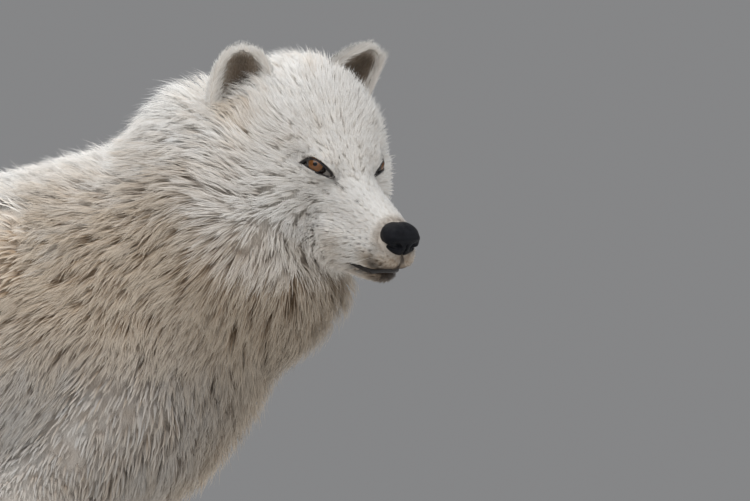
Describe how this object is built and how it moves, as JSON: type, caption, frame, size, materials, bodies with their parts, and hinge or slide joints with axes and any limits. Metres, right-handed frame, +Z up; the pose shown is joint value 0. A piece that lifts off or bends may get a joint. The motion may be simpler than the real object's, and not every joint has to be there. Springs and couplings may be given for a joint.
{
  "type": "arctic wolf",
  "caption": "Life-size standing arctic wolf with its head turned to its right, a still display model with a thick winter coat and paws flat on the floor.",
  "frame": {"origin": "on the floor, below the middle of the box round the whole animal", "axes": "+X is the way the body faces, +Y is the animal's left side, +Z is up; the floor under the paws is Z = 0"},
  "size_m": [1.196, 0.2967, 0.8892],
  "materials": {
    "winter_coat": "deep, soft, matt cream-white winter fur with tan-brown shade between the locks, greyer on the face",
    "nose_leather": "black pebbled nose leather, moist, with a soft sheen on top",
    "eye": "wet amber-brown iris round a black pupil, under a clear glossy cornea",
    "claw_horn": "dark brown-black horn, worn satin"
  },
  "bodies": {
    "root": {"ear_left": "winter_coat", "ear_right": "winter_coat", "eye_left": "eye", "eye_right": "eye", "fore_leg_left_claw_1": "claw_horn", "fore_leg_left_claw_2": "claw_horn", "fore_leg_left_claw_3": "claw_horn", "fore_leg_left_claw_4": "claw_horn", "fore_leg_left_dew_claw": "claw_horn", "fore_leg_left_lower": "winter_coat", "fore_leg_left_paw": "winter_coat", "fore_leg_left_upper": "winter_coat", "fore_leg_right_claw_1": "claw_horn", "fore_leg_right_claw_2": "claw_horn", "fore_leg_right_claw_3": "claw_horn", "fore_leg_right_claw_4": "claw_horn", "fore_leg_right_dew_claw": "claw_horn", "fore_leg_right_lower": "winter_coat", "fore_leg_right_paw": "winter_coat", "fore_leg_right_upper": "winter_coat", "head": "winter_coat", "hind_leg_left_claw_1": "claw_horn", "hind_leg_left_claw_2": "claw_horn", "hind_leg_left_claw_3": "claw_horn", "hind_leg_left_claw_4": "claw_horn", "hind_leg_left_lower": "winter_coat", "hind_leg_left_paw": "winter_coat", "hind_leg_left_upper": "winter_coat", "hind_leg_right_claw_1": "claw_horn", "hind_leg_right_claw_2": "claw_horn", "hind_leg_right_claw_3": "claw_horn", "hind_leg_right_claw_4": "claw_horn", "hind_leg_right_lower": "winter_coat", "hind_leg_right_paw": "winter_coat", "hind_leg_right_upper": "winter_coat", "lower_jaw": "winter_coat", "neck": "winter_coat", "nose": "nose_leather", "tail": "winter_coat", "trunk": "winter_coat"}
  },
  "joints": []
}
